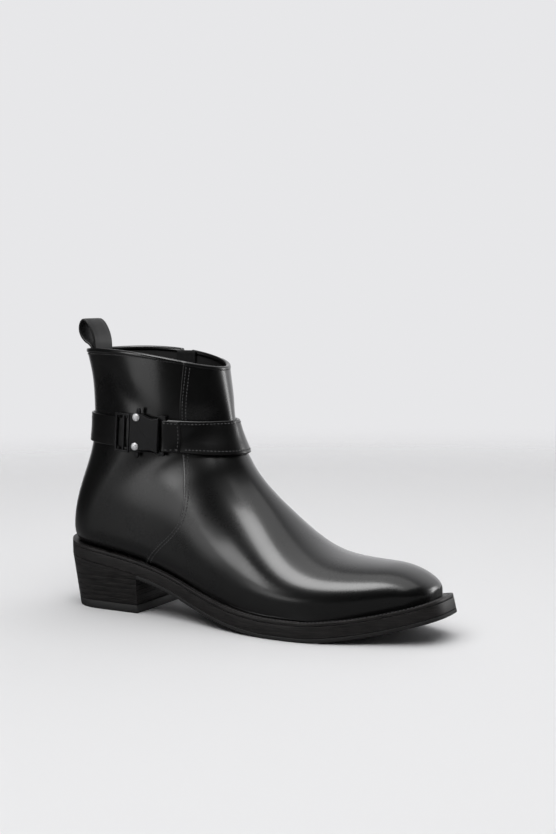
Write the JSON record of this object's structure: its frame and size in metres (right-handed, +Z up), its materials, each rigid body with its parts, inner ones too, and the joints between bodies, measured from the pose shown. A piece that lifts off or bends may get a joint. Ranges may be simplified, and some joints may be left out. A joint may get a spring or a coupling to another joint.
{
  "type": "buckle boot",
  "caption": "Ankle boot with a squared toe, stacked heel, side zip, pull loop and an ankle strap with a side buckle.",
  "frame": {"origin": "middle of the footprint's box, on the floor that the boot stands on", "axes": "+X towards the toe, +Y towards the medial side, +Z up the shaft"},
  "size_m": [0.301, 0.1024, 0.2107],
  "materials": {
    "calf_leather": "high-shine polished",
    "sole_edge": "stained stacked leather, satin",
    "sole_rubber": "matt",
    "sock_leather": "smooth matt",
    "black_metal": "matt black coating",
    "bright_metal": "polished",
    "zip_tape": "woven tape"
  },
  "bodies": {
    "boot": {"outsole": "sole_rubber", "midsole": "sole_edge", "welt": "sole_edge", "heel_stack": "sole_edge", "heel_top_piece": "sole_rubber", "insole": "sock_leather", "upper": "calf_leather", "strap_front": "calf_leather", "strap_rear": "calf_leather", "buckle_plate": "black_metal", "buckle_ladder": "black_metal", "rivet_upper": "bright_metal", "rivet_lower": "bright_metal", "buckle_lever_upper": "black_metal", "buckle_lever_lower": "black_metal", "pull_loop": "calf_leather", "zip_tape": "zip_tape", "zip_chain": "black_metal", "zip_slider": "black_metal"},
    "zip_pull": {"zip_pull": "black_metal"}
  },
  "joints": [
    {"name": "zip_pull_swing", "type": "hinge", "parent": "boot", "child": "zip_pull", "pos_m": [-0.07436, 0.04192, 0.18139], "axis": [0.9993, -0.0377, 0.0012], "range_deg": [0, 150]}
  ]
}
